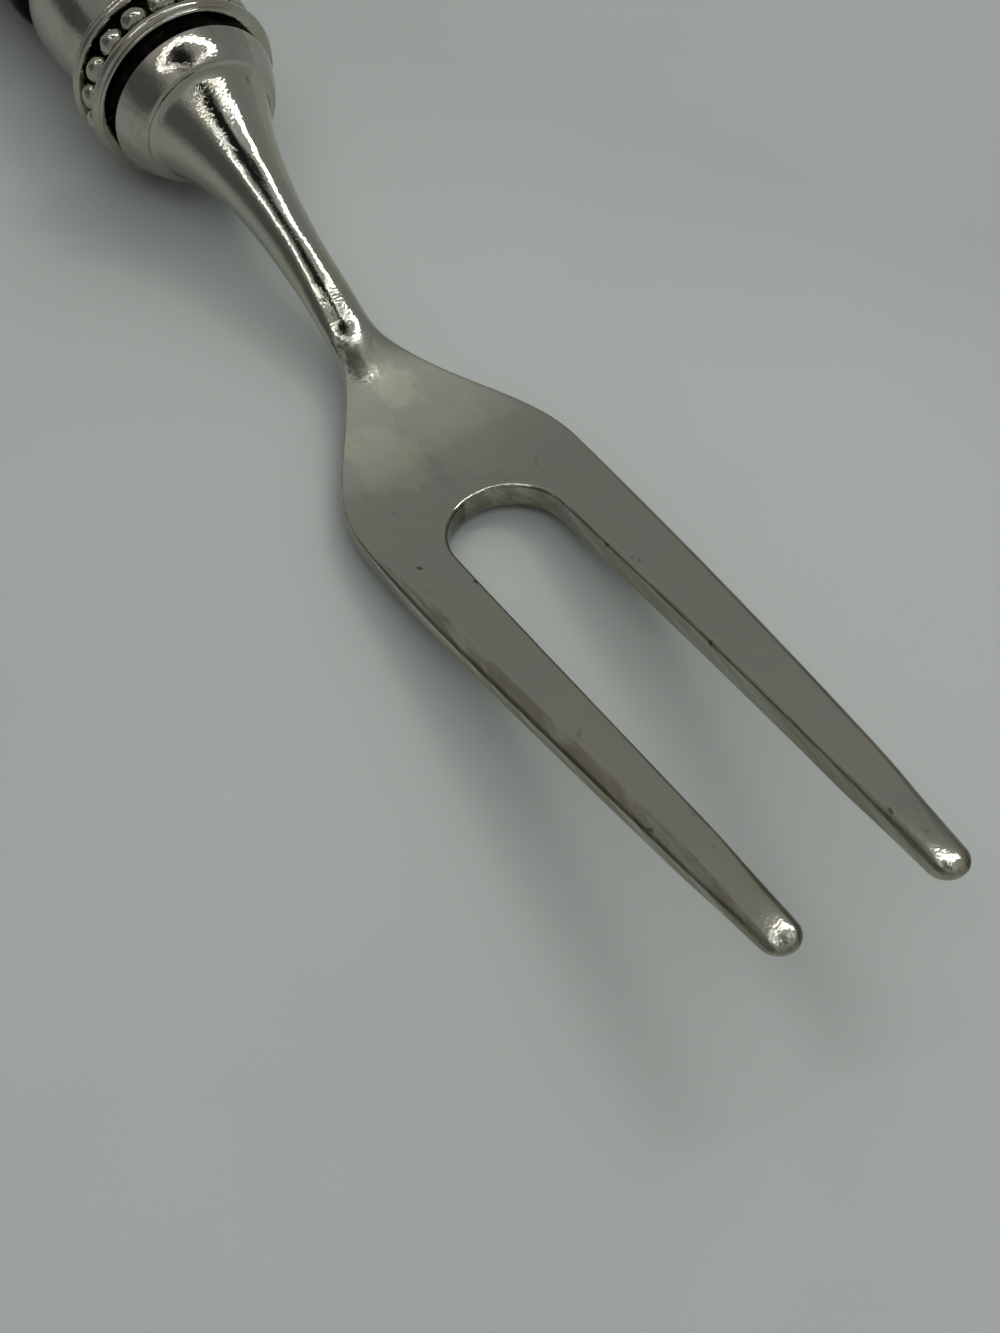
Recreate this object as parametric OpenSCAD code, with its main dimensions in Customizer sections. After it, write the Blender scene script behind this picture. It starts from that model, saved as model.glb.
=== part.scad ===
// Two-tined appetizer fork, lying face up on its rest plane.
// A cast head ends in a rod tang, which carries a silver ferrule, a black turned grip and a capped butt.
// X runs along the handle towards the tips, Z is up, and sizes are in millimetres.
// Inside the model, x = 0 is the seat where the foot of the neck meets the collar.

/* [Head] */
// Length of the head from the collar to the tips
head_len = 74.4; // [68:0.1:80]
// Width over the shoulders of the yoke
yoke_w = 16.5; // [14.5:0.1:18]
// Width over both tines just behind the tips
tips_w = 12.6; // [11.8:0.1:14]
// Width of the gap between the tines at its root
gap_w = 7.8; // [6:0.1:8.4]
// Width of the gap between the tips
gap_tip_w = 8.4; // [6.6:0.1:9]
// Distance from the collar to the root of the gap
notch_x = 34.9; // [32:0.1:37]
// Distance from the collar to the widest part of the yoke
shoulder_x = 35.2; // [34:0.1:40]
// Distance from the collar to the lowest part of the head
belly_x = 30; // [26:0.5:32]
// Rise of the tips over the lowest part of the head
tip_rise_h = 9.8; // [5:0.1:12]
// Thickness of the yoke
yoke_t = 2.2; // [1.6:0.1:2.8]
// Thickness of the tines near the tips
tine_t = 1.9; // [1.5:0.1:2.4]
// Length of the rounded end of a tine
tip_len = 1.3; // [0.8:0.1:2]
// Size of the rounded edges of the yoke and tines
edge_r = 0.35; // [0.25:0.05:0.6]
// Distance from the collar to where the yoke is flat on top
plate_x = 25; // [23:0.5:28]
// Length over which a tine turns round towards its tip
nose_len = 9; // [5:0.5:12]

/* [Neck and tang] */
// Diameter of the foot that sits on the collar
foot_d = 9.2; // [8:0.1:10.6]
// Diameter of the neck at its thinnest
neck_d = 3.4; // [2.6:0.1:4]
// Length of the neck
neck_len = 17.4; // [16:0.1:21]
// Distance from the collar to where the neck grows thinner
thin_x = 12; // [9:0.5:14]
// Distance from the collar to where the neck is as thin as the yoke
thin_end_x = 20; // [18:0.5:22]
// Diameter of the rod tang
tang_d = 3.5; // [2.8:0.1:4]

/* [Ferrule] */
// Diameter over the wires and beads, which the handle rests on
band_d = 14.2; // [13.6:0.1:15]
// Largest diameter of the collar
collar_d = 12.4; // [12:0.1:13.4]
// Length of the collar
collar_len = 2.5; // [2.2:0.1:3.2]
// Radius of the bow of the collar's flank
collar_bow_r = 8.7; // [7:0.1:11]
// Radius of the collar's front edge
collar_edge_r = 0.35; // [0.2:0.05:0.5]
// Width of the dark groove behind the collar
groove_w = 1; // [0.6:0.1:1.6]
// Depth of the groove below the collar
groove_depth = 1.1; // [0.8:0.1:1.5]
// Diameter of the drawn wire rings
wire_d = 1.2; // [0.9:0.05:1.4]
// Diameter of a bead
bead_d = 1.8; // [1.5:0.05:1.9]
// Number of beads in a row
bead_count = 18; // [12:1:19]
// Space between the beads and the wire beside them
bead_side_w = 0.2; // [0.1:0.05:0.4]
// Largest diameter of the bulb
bulb_d = 12.3; // [11.6:0.1:13]
// Length of the bulb
bulb_len = 12; // [10:0.5:15]
// Drop of the bulb's radius from its peak to the band
bulb_drop_r = 0.75; // [0.4:0.05:1]
// Wall of the sleeve under the groove
sleeve_wall = 0.9; // [0.6:0.05:1.1]

/* [Grip and butt] */
// Length of the black grip that shows
grip_len = 51; // [42:0.5:60]
// Diameter of the grip at its ends
grip_end_d = 12.4; // [11.8:0.1:13]
// Diameter of the grip at its middle
grip_mid_d = 13.4; // [13.1:0.1:13.5]
// Length of the grip's tenon inside the bulb
tenon_len = 6; // [4:0.5:8]
// Wall of resin between the tang and the grip
bedding_t = 0.6; // [0.3:0.1:1]
// Width across the flats of the tang nut
nut_w = 5.6; // [5.2:0.1:6]
// Thickness of the tang nut
nut_t = 2.4; // [1.8:0.1:2.8]
// Thickness of the washer under the nut
washer_t = 0.6; // [0.4:0.1:0.8]
// Length of the domed end cap
cap_len = 5; // [4:0.1:6.5]
// Diameter of the ball at the butt
finial_d = 5; // [4:0.1:6]
// Diameter of the peg that holds the ball in the cap
peg_d = 2; // [1.4:0.1:2.4]
// Depth of the peg's hole in the cap
peg_len = 2.5; // [1.5:0.1:3]

/* [Fits] */
// Radial clearance of the tang in the collar and the washer
tang_clear_r = 0.1; // [0.05:0.05:0.2]
// Radial clearance of the cap's spigot in the sleeve
spigot_clear_r = 0.05; // [0.02:0.01:0.1]

/* [Hidden] */
$fn = 96;

// Shares that set the forms: depth of the seats under wires and beads, and place of the bulb's peak
seat_depth = 0.35;
bulb_peak = 0.66;
bulb_aft_curve = 1.5;
// Lean of the collar's flank at its back edge, in degrees
collar_lean = 15;
// Tang that stands out of its nut, and share of the free bore that the spigot fills
tang_proud_len = 0.4;
spigot_share = 0.6;
// Seat of the ball: depth of the flat on the dome, and of the flat ground on the ball
finial_sink_depth = 0.4;
finial_flat_depth = 0.3;
// Eased edge of the grip, and steps along half of its barrel
grip_edge_w = 0.5;
grip_steps = 12;

// Radii and lengths of the ferrule that follow from the driving sizes
tang_r = tang_d / 2;
rod_hole_r = tang_r + tang_clear_r;
band_r = band_d / 2;
wire_r = wire_d / 2;
bead_r = bead_d / 2;
wire_ring_r = band_r - wire_r;
bead_ring_r = band_r - bead_r;
land_r = wire_ring_r - seat_depth * wire_r;
floor_r = bead_ring_r - bead_r + seat_depth * bead_r;
groove_r = collar_d / 2 - groove_depth;
bore_r = min(groove_r, floor_r) - sleeve_wall;
channel_w = bead_d + 2 * bead_side_w;
sleeve_len = groove_w + 2 * wire_d + channel_w;
rear_sleeve_len = sleeve_len - groove_w;

// Stations along the handle
sleeve_x = -collar_len;
bulb_x = sleeve_x - sleeve_len;
grip_x = bulb_x - bulb_len;
butt_x = grip_x - grip_len;
cap_x = butt_x - rear_sleeve_len;
dome_x = cap_x - cap_len;
tang_end_x = butt_x - washer_t - nut_t - tang_proud_len;
spigot_len = spigot_share * (tang_end_x - cap_x);
finial_x = dome_x + finial_sink_depth + finial_flat_depth - finial_d / 2;
handle_len = finial_d / 2 - finial_x;

// Squareness of a section: 2 is an ellipse and a larger value is closer to a rectangle
bow_square = 2.2;
edge_square = 2.3;
// Share of the neck before the yoke's flat begins, and of the flat that a round nose loses
flat_from = 0.8;
nose_round = 0.8;
// Slope with which the neck leaves the collar, and softness of the turn under the yoke
foot_slope = 0.3;
belly_soft = 0.1;
// Power of the trumpet curve of the foot, and start of the tines' taper
foot_power = 3;
taper_soft = 0.18;
// Half the points round a section, and rings along the neck, yoke, gap root, tine and tip
half_ring = 12;
neck_rings = 12;
yoke_rings = 16;
root_rings = 7;
tine_rings = 14;
tip_rings = 5;
// Angle of the last ring of a tip, and crowding of the rings towards the foot
tip_last = 85;
neck_crowd = 1.3;

ring = 2 * half_ring;
belly_z = -band_r + half_t(belly_x);
gap_r = gap_w / 2;

// Moves a piece from the seat of the collar to the middle of the rest plane
module lying() {
  translate([(handle_len - head_len) / 2, 0, band_r]) children();
}

// Turns a profile of radius and station about the handle axis
module turned() {
  lying() rotate([0, 90, 0]) rotate_extrude() children();
}

// Rectangle of the profile between two radii and two stations
module band(inner, outer, from, to) {
  translate([inner, from]) square([outer - inner, to - from]);
}

function unit(u) = min(1, max(0, u));
function ease(u) = 1 - pow(1 - unit(u), 3) * (1 + 3 * unit(u));
function swell(u) = pow(unit(u), 3) * (6 * unit(u) * unit(u) - 15 * unit(u) + 10);
function mix(a, b, u) = a + (b - a) * u;

// Middle height of the head at a station: a dip along the neck, then a rise along the tines
function dip(u) = u * u * (3 - 2 * u) + foot_slope * u * (1 - u) * (1 - u);
function soft(u) = sqrt(u * u + belly_soft * belly_soft) - belly_soft;
function mid_z(x) = x < belly_x ? belly_z * dip(x / belly_x)
  : belly_z + tip_rise_h * soft((x - belly_x) / (head_len - belly_x)) / soft(1);

// Half width and half thickness of the head at a station
function spread(x) = swell((x - neck_len) / (shoulder_x - neck_len));
function neck_r(x) = mix(neck_d, foot_d, pow(1 - unit(x / neck_len), foot_power)) / 2;
function taper(u) = u * u / (u + taper_soft) * (1 + taper_soft);
function along(x) = unit((x - shoulder_x) / (head_len - tip_len - shoulder_x));
function half_w(x) = mix(neck_r(x), yoke_w / 2, spread(x)) - (yoke_w - tips_w) / 2 * taper(along(x));
function thin(x) = ease((x - thin_x) / (thin_end_x - thin_x));
function half_t(x) = mix(neck_r(x), mix(yoke_t, tine_t, along(x)) / 2, thin(x));

// Share of the flat plate in a section, and of the upright side below its widest line
function nose(x) = ease((x - head_len + nose_len) / nose_len);
function spreading(x) = ease((x - flat_from * neck_len) / (plate_x - flat_from * neck_len));
function flat(x) = spreading(x) * (1 - nose_round * nose(x));
function upright(x) = ease((x - plate_x) / (notch_x + gap_r - plate_x));

// Squareness that gives a reach an edge of the set size, above and below the widest line
function above(x, reach) = mix(2, max(2, edge_square * reach / edge_r), flat(x));
function below(x, reach) = mix(mix(2, bow_square, flat(x)), above(x, reach), upright(x));
function square_at(x, reach, a) = sin(a) < 0 ? below(x, reach) : above(x, reach);

// Half width of the gap: a round root, then straight sides
function gap_at(x) = x < notch_x + gap_r ? sqrt(max(0, gap_r * gap_r - pow(notch_x + gap_r - x, 2)))
  : mix(gap_r, gap_tip_w / 2, unit((x - notch_x - gap_r) / (head_len - tip_len - notch_x - gap_r)));

// Point of a rounded outline at a station and an angle, with separate reach towards each side
function bulge(v, n) = sign(v) * pow(abs(v), 2 / n);
function level(x, a) = half_t(x) * bulge(sin(a), square_at(x, half_t(x), a));
function outline(x, a, out, in) =
  let (reach = cos(a) > 0 ? out : in)
  [reach * bulge(cos(a), square_at(x, reach, a)), level(x, a)];
function angle_at(i) = i == half_ring ? 90 : 360 * i / ring - 90;

// Rings of the neck and yoke, then rings of one tine with its mid line between gap and edge
function body_ring(x) = [for (i = [0:ring - 1])
  let (p = outline(x, angle_at(i), half_w(x), half_w(x))) [x, p[0], mid_z(x) + p[1]]];
function crown(x) = mix(gap_at(x), half_w(x), 0.5 * unit((x - notch_x) / gap_r));
function tine_ring(x, round, side) = [for (i = [0:ring - 1])
  let (c = crown(x))
  let (m = (gap_at(x) + half_w(x)) / 2)
  let (p = outline(x, angle_at(i), half_w(x) - c, c - gap_at(x)))
  [x, side * (m + (c - m + p[0]) * round), mid_z(x) + p[1] * round]];

neck_x = [for (i = [0:neck_rings]) neck_len * pow(i / neck_rings, neck_crowd)];
yoke_x = [for (i = [1:yoke_rings]) mix(neck_len, notch_x, i / yoke_rings)];
body_x = concat(neck_x, yoke_x);
root_x = [for (i = [1:root_rings]) notch_x + gap_r * (1 - cos(90 * i / root_rings))];
side_x = [for (i = [1:tine_rings]) mix(notch_x + gap_r, head_len - tip_len, i / tine_rings)];
tip_a = [for (i = [1:tip_rings]) tip_last * i / tip_rings];
tine_x = concat(root_x, side_x, [for (a = tip_a) head_len - tip_len * (1 - sin(a))]);
tine_round = concat([for (x = root_x) 1], [for (x = side_x) 1], [for (a = tip_a) cos(a)]);

// Point lists of the head, and the place in them where each stretch begins
tang_rings = [for (x = [tang_end_x, 0])
  [for (i = [0:ring - 1]) [x, tang_r * cos(angle_at(i)), tang_r * sin(angle_at(i))]]];
body_rings = concat(tang_rings, [for (x = body_x) body_ring(x)]);
last = len(body_rings) - 1;
root_line = [for (i = [half_ring + 1:ring - 1])
  [notch_x, 0, mid_z(notch_x) + level(notch_x, angle_at(i))]];
function tine_points(side) = concat(
  [for (k = [0:len(tine_x) - 1]) each tine_ring(tine_x[k], tine_round[k], side)],
  [[head_len, side * (tips_w + gap_tip_w) / 4, mid_z(head_len)]]);
head_points = concat([for (r = body_rings) each r], root_line, tine_points(1), tine_points(-1));
root_at = ring * len(body_rings);
tine_size = ring * len(tine_x) + 1;
function tine_at(side) = root_at + len(root_line) + (side > 0 ? 0 : tine_size);

// Place of a point in the list, by ring and by number round the ring
function body_i(r, i) = r * ring + i % ring;
function shared_i(side, i) = i > half_ring ? root_at + i - half_ring - 1
  : body_i(last, side > 0 ? i : ring - i);
function tine_i(side, k, i) = k == 0 ? shared_i(side, i % ring) : tine_at(side) + (k - 1) * ring + i % ring;

// Two triangles for a four-sided patch, turned over on the mirrored side
function patch(a, b, c, d, flip) = flip ? [[a, b, c], [a, c, d]] : [[a, c, b], [a, d, c]];
function body_faces() = [for (r = [0:last - 1]) for (i = [0:ring - 1])
  each patch(body_i(r, i), body_i(r, i + 1), body_i(r + 1, i + 1), body_i(r + 1, i), false)];
function tine_faces(side) = [for (k = [0:len(tine_x) - 1]) for (i = [0:ring - 1])
  let (next = k + 1)
  let (j = i + 1)
  each patch(tine_i(side, k, i), tine_i(side, k, j), tine_i(side, next, j), tine_i(side, next, i), side < 0)];
function tip_faces(side) = [for (i = [0:ring - 1])
  let (a = tine_i(side, len(tine_x), i))
  let (b = tine_i(side, len(tine_x), i + 1))
  let (apex = tine_at(side) + tine_size - 1)
  side > 0 ? [b, a, apex] : [a, b, apex]];
tang_face = [for (i = [0:ring - 1]) body_i(0, i)];
head_faces = concat([tang_face], body_faces(), tine_faces(1), tine_faces(-1), tip_faces(1), tip_faces(-1));

// Tines, yoke, neck, foot and tang in one casting
module fork_head() {
  color("silver") lying() polyhedron(head_points, head_faces);
}

// Bolster: a bowed cone that ends in a rounded front edge, bored for the tang
collar_bow_x = -collar_len - collar_bow_r * sin(collar_lean);
collar_bow_y = collar_d / 2 - collar_bow_r * cos(collar_lean);
collar_turn = asin((-collar_bow_x - collar_edge_r) / (collar_bow_r - collar_edge_r));
collar_edge_y = collar_bow_y + (collar_bow_r - collar_edge_r) * cos(collar_turn);

module collar() {
  color("gainsboro") turned() {
    intersection() {
      translate([collar_bow_y, collar_bow_x]) circle(collar_bow_r, $fn = 256);
      band(rod_hole_r, collar_d / 2, -collar_len, collar_bow_x + collar_bow_r * sin(collar_turn));
    }
    translate([collar_edge_y, -collar_edge_r]) circle(collar_edge_r);
    band(rod_hole_r, collar_edge_y, -collar_len, 0);
  }
}

// Stations of the wires and beads of a band that starts with its fore wire at from
function fore_wire_x(from) = from - wire_r;
function beads_x(from) = from - wire_d - channel_w / 2;
function aft_wire_x(from) = from - wire_d - channel_w - wire_r;

// Profile of the lands and channel that carry the wires and beads
module band_profile(from) {
  difference() {
    union() {
      band(bore_r, floor_r, from - 2 * wire_d - channel_w, from);
      band(bore_r, land_r, from - wire_d, from);
      band(bore_r, land_r, from - 2 * wire_d - channel_w, from - wire_d - channel_w);
    }
    for (x = [fore_wire_x(from), aft_wire_x(from)]) translate([wire_ring_r, x]) circle(wire_r);
  }
}

module wire(x) {
  color("silver") turned() translate([wire_ring_r, x]) circle(wire_r, $fn = 32);
}

module bead_row(x) {
  for (i = [0:bead_count - 1])
    lying() rotate([360 * i / bead_count, 0, 0]) translate([x, 0, bead_ring_r]) sphere(bead_r, $fn = 32);
}

module front_sleeve() {
  color("dimgray") difference() {
    turned() {
      band(bore_r, groove_r, sleeve_x - groove_w, sleeve_x);
      band_profile(sleeve_x - groove_w);
    }
    bead_row(beads_x(sleeve_x - groove_w));
  }
}

module front_wire_fore() {
  wire(fore_wire_x(sleeve_x - groove_w));
}

module front_beads() {
  color("silver") bead_row(beads_x(sleeve_x - groove_w));
}

module front_wire_aft() {
  wire(aft_wire_x(sleeve_x - groove_w));
}

// Bulb: a long arc rises from the band to the peak, and a short arc falls to the grip
bulb_r = bulb_d / 2;
bulb_peak_x = bulb_x - bulb_peak * bulb_len;
bulb_fore_run = bulb_x - bulb_peak_x;
bulb_fore_arc = (bulb_fore_run * bulb_fore_run + bulb_drop_r * bulb_drop_r) / (2 * bulb_drop_r);
bulb_aft_arc = bulb_aft_curve * (bulb_peak_x - grip_x);

module front_bulb() {
  color("gainsboro") turned() {
    intersection() {
      translate([bulb_r - bulb_fore_arc, bulb_peak_x]) circle(bulb_fore_arc, $fn = 256);
      band(bore_r, bulb_r, bulb_peak_x, bulb_x);
    }
    intersection() {
      translate([bulb_r - bulb_aft_arc, bulb_peak_x]) circle(bulb_aft_arc, $fn = 256);
      band(bore_r, bulb_r, grip_x, bulb_peak_x);
    }
  }
}

// Resin poured round the tang: wide inside the ferrule, thin inside the grip
module bedding() {
  color("saddlebrown") turned() {
    band(tang_r, bore_r, grip_x + tenon_len, sleeve_x);
    band(tang_r, tang_r + bedding_t, butt_x, grip_x + tenon_len);
  }
}

// Grip: a shallow barrel with eased edges, a bore for the tang and a tenon for the bulb
grip_swell = (grip_mid_d - grip_end_d) / 2;
grip_half = grip_len / 2 - grip_edge_w;
function barrel_r(u) = grip_end_d / 2 + grip_swell * (1 - u * u);
barrel = [for (i = [-grip_steps:grip_steps])
  [barrel_r(i / grip_steps), (grip_x + butt_x) / 2 + grip_half * i / grip_steps]];

module grip() {
  color("black") turned() {
    polygon(concat([[tang_r + bedding_t, butt_x], [grip_end_d / 2 - grip_edge_w, butt_x]], barrel,
                   [[grip_end_d / 2 - grip_edge_w, grip_x], [tang_r + bedding_t, grip_x]]));
    band(tang_r + bedding_t, bore_r, grip_x, grip_x + tenon_len);
  }
}

module washer() {
  color("gray") turned() band(rod_hole_r, nut_w / 2, butt_x - washer_t, butt_x);
}

// Hexagon nut that draws the grip up against the ferrule
module tang_nut() {
  color("goldenrod") lying() translate([butt_x - washer_t, 0, 0]) rotate([0, -90, 0]) difference() {
    cylinder(nut_t, d = nut_w / cos(30), $fn = 6);
    translate([0, 0, -nut_t / 2]) cylinder(2 * nut_t, r = tang_r);
  }
}

module rear_sleeve() {
  color("dimgray") difference() {
    turned() band_profile(butt_x);
    bead_row(beads_x(butt_x));
  }
}

module rear_wire_fore() {
  wire(fore_wire_x(butt_x));
}

module rear_beads() {
  color("silver") bead_row(beads_x(butt_x));
}

module rear_wire_aft() {
  wire(aft_wire_x(butt_x));
}

// Cap: a spigot in the sleeve, a dome behind it and a blind hole for the finial's peg
cap_r = land_r;
peg_r = peg_d / 2;
dome_r = (cap_len * cap_len + cap_r * cap_r) / (2 * cap_len);

module end_cap() {
  color("gainsboro") turned() difference() {
    union() {
      band(0, bore_r - spigot_clear_r, cap_x, cap_x + spigot_len);
      intersection() {
        translate([0, dome_x + dome_r]) circle(dome_r, $fn = 256);
        band(0, cap_r, dome_x + finial_sink_depth, cap_x);
      }
    }
    band(0, peg_r, dome_x, dome_x + peg_len);
  }
}

module finial() {
  color("silver") turned() {
    intersection() {
      translate([0, finial_x]) circle(d = finial_d);
      band(0, finial_d, dome_x - finial_d, dome_x + finial_sink_depth);
    }
    band(0, peg_r, finial_x, dome_x + peg_len);
  }
}

fork_head();
collar();
front_sleeve();
front_wire_fore();
front_beads();
front_wire_aft();
front_bulb();
bedding();
grip();
washer();
tang_nut();
rear_sleeve();
rear_wire_fore();
rear_beads();
rear_wire_aft();
end_cap();
finial();
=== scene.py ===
import math

import bmesh
import bpy
from mathutils import Matrix, Vector, noise


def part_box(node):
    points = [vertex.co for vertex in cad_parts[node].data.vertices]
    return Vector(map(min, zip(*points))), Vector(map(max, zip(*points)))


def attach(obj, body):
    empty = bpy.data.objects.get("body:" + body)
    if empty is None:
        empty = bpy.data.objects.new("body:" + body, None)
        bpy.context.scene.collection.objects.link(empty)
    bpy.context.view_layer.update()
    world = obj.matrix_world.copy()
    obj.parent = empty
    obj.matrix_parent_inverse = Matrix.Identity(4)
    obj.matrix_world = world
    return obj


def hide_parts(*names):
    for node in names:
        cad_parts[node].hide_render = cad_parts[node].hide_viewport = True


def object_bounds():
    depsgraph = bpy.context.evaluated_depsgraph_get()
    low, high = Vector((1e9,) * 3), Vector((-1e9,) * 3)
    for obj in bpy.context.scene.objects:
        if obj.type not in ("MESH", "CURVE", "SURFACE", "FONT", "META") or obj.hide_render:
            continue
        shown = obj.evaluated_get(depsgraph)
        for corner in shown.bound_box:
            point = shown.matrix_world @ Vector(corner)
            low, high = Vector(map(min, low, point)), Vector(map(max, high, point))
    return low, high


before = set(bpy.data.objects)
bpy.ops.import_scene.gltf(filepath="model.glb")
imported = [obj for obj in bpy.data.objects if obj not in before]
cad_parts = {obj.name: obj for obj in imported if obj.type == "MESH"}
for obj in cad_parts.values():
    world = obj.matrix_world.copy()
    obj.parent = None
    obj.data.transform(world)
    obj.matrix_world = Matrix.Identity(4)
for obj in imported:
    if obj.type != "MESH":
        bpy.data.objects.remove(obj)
cad_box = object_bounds()

MM = 0.001
MERGE_DIST = 0.0005 * MM

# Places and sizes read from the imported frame
head_lo, head_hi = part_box("fork_head")
wire_lo, wire_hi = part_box("front_wire_fore")
SEAT_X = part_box("collar")[1].x
AXIS_Z = (wire_lo.z + wire_hi.z) / 2
BAND_R = (wire_hi.z - wire_lo.z) / 2
HEAD_LEN = head_hi.x - SEAT_X
YOKE_W = head_hi.y - head_lo.y
TANG_END = head_lo.x - SEAT_X

# Head sizes that the frame's boxes don't show, with stations from the collar's seat
TIPS_W = 12.6 * MM
GAP_W = 7.8 * MM
GAP_TIP_W = 7.7 * MM
NOTCH_X = 34.9 * MM
SHOULDER_X = 35.2 * MM
BELLY_X = 30 * MM
PLATE_X = 25 * MM
TIP_RISE = 9.8 * MM
YOKE_T = 2.2 * MM
TINE_T = 1.9 * MM
TIP_LEN = 1.3 * MM
TIP_SLOPE_LEN = 2.6 * MM
NOSE_LEN = 9 * MM
GAP_R = GAP_W / 2
ROOT_X = NOTCH_X + GAP_R

# Neck and tang
FOOT_D = 9.2 * MM
FILLET_LEN = 0.6 * MM
FILLET_H = 0.28 * MM
NECK_D = 3.4 * MM
NECK_LEN = 17.4 * MM
TANG_R = 1.75 * MM

# End of the neck: where it grows thinner, where its top is kept straighter, and its ridge and hollow
THIN_X = 12 * MM
THIN_END_X = 20 * MM
LIFT_X = 15 * MM
LIFT_END_X = 19.3 * MM
LIFT_SHARE = 0.4
RIDGE_X = 15.5 * MM
RIDGE_LEN = 1.2 * MM
RIDGE_H = 0.03 * MM
HOLLOW_X = 19.4 * MM
HOLLOW_LEN = 2 * MM
HOLLOW_DEPTH = 0.18 * MM

# Rounded edges, and the worn bevel along the outer edge of a tine
RIM_R = 0.3 * MM
TIP_RIM_R = 0.8 * MM
CORNER_R = 0.2 * MM
BEVEL_X = 33 * MM
BEVEL_END_X = 44 * MM
BEVEL_W = 0.95 * MM
BEVEL_H = 0.6 * MM

# Hand-made tines: side, extra length, outward bow and share of the bevel
TINES = ((1, 0.8 * MM, 0.25 * MM, 0.35), (-1, -0.5 * MM, 0, 1))

# Hand-worked waviness: where it starts, and its share on the yoke and tines
WORK_X = 2 * MM
YOKE_WORK = 0.2

# Shares and powers that set the curves of the head
FOOT_SLOPE = 0.3
FOOT_POWER = 3
BELLY_SOFT = 0.1
TAPER_SOFT = 0.18
LIFT_SOFT = 0.18
BEVEL_FLAT = 1.6
NOSE_ROUND = 0.8
BOW_SQUARE = 2.2
SIDE_SQUARE = 7

# Points of a half section: inner edge, flat, corner, side and wall
RIM_STEPS = 6
FLAT_STEPS = 16
CORNER_STEPS = 10
SIDE_STEPS = 28
WALL_STEPS = 5

# Rows of sections along the head, and crowding of the neck's rows towards its foot
NECK_ROWS = 70
YOKE_ROWS = 64
ROOT_ROWS = 28
TINE_ROWS = 60
TIP_ROWS = 12
NECK_CROWD = 1.6

# Points round a turned piece
LATHE_STEPS = 192

# Curves


def unit(u):
    return min(1.0, max(0.0, u))


def ease(u):
    """Rise from 0 to 1, steepest in its first half."""
    u = unit(u)
    return 1 - (1 - u) ** 3 * (1 + 3 * u)


def swell(u):
    """Rise from 0 to 1, steepest in its middle."""
    u = unit(u)
    return u ** 3 * (6 * u * u - 15 * u + 10)


def slide(u):
    """Straight rise from 0 to 1 with softened ends."""
    u = unit(u)
    if u > 0.5:
        return 1 - slide(1 - u)
    if u < LIFT_SOFT:
        return u * u / (2 * LIFT_SOFT * (1 - LIFT_SOFT))
    return (u - LIFT_SOFT / 2) / (1 - LIFT_SOFT)


def soft(u):
    return math.sqrt(u * u + BELLY_SOFT * BELLY_SOFT) - BELLY_SOFT


def mix(a, b, u):
    return a + (b - a) * u


def quarter(k, steps):
    """Angle at a step of a quarter turn."""
    return math.pi / 2 * k / steps


def place(x, y, z):
    """Point of the frame from a station measured from the collar's seat."""
    return Vector((SEAT_X + x, y, AXIS_Z + z))


# Form of the head at a station


def spread(x):
    return swell((x - NECK_LEN) / (SHOULDER_X - NECK_LEN))


def along(x):
    return unit((x - SHOULDER_X) / (HEAD_LEN - TIP_LEN - SHOULDER_X))


def nose(x):
    return ease((x - HEAD_LEN + NOSE_LEN) / NOSE_LEN)


def neck_r(x):
    """Radius of the neck: a trumpet with a small fillet where it sits on the collar."""
    fillet = FILLET_H * (1 - math.sqrt(1 - (1 - unit(x / FILLET_LEN)) ** 2))
    return mix(NECK_D, FOOT_D, (1 - unit(x / NECK_LEN)) ** FOOT_POWER) / 2 + fillet


def half_w(x):
    u = along(x)
    taper = u * u / (u + TAPER_SOFT) * (1 + TAPER_SOFT)
    return mix(neck_r(x), YOKE_W / 2, spread(x)) - (YOKE_W - TIPS_W) / 2 * taper


def half_t(x):
    """Half thickness: the neck is beaten thinner over its last stretch, before it spreads."""
    thin = ease((x - THIN_X) / (THIN_END_X - THIN_X))
    return mix(neck_r(x), mix(YOKE_T, TINE_T, along(x)) / 2, thin)


def plate_at(x):
    """Share of the flat plate in a section: none in the neck, and less again in the nose of a tine."""
    return ease((x - NECK_LEN) / (PLATE_X - NECK_LEN)) * (1 - NOSE_ROUND * nose(x))


def side_power(x):
    """Fullness of the underside: a bow under the yoke, upright sides along the tines."""
    return mix(BOW_SQUARE, SIDE_SQUARE, ease((x - PLATE_X) / (ROOT_X - PLATE_X)))


def rim_at(x):
    return mix(RIM_R, TIP_RIM_R, nose(x))


def lift(x):
    """Rise that keeps the top of the neck straighter while its underside grows thinner."""
    thinned = neck_r(x) - half_t(x)
    return LIFT_SHARE * thinned * (1 - slide((x - LIFT_X) / (LIFT_END_X - LIFT_X)))


def mid_z(x):
    """Middle height: a dip along the neck with ridge, hollow and lift at its end, then a rise to the tips."""
    belly_z = half_t(BELLY_X) - BAND_R
    if x < BELLY_X:
        u = x / BELLY_X
        dip = u * u * (3 - 2 * u) + FOOT_SLOPE * u * (1 - u) ** 2
        ridge = RIDGE_H * math.exp(-((x - RIDGE_X) / RIDGE_LEN) ** 2)
        hollow = HOLLOW_DEPTH * math.exp(-((x - HOLLOW_X) / HOLLOW_LEN) ** 2)
        return belly_z * dip + ridge - hollow + lift(x)
    return belly_z + TIP_RISE * soft((x - BELLY_X) / (HEAD_LEN - BELLY_X)) / soft(1)


def gap_at(x):
    """Half width of the gap: a round root, then straight sides."""
    if x < ROOT_X:
        return math.sqrt(max(0.0, GAP_R ** 2 - (ROOT_X - x) ** 2))
    return mix(GAP_R, GAP_TIP_W / 2, unit((x - ROOT_X) / (HEAD_LEN - TIP_LEN - ROOT_X)))


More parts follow.
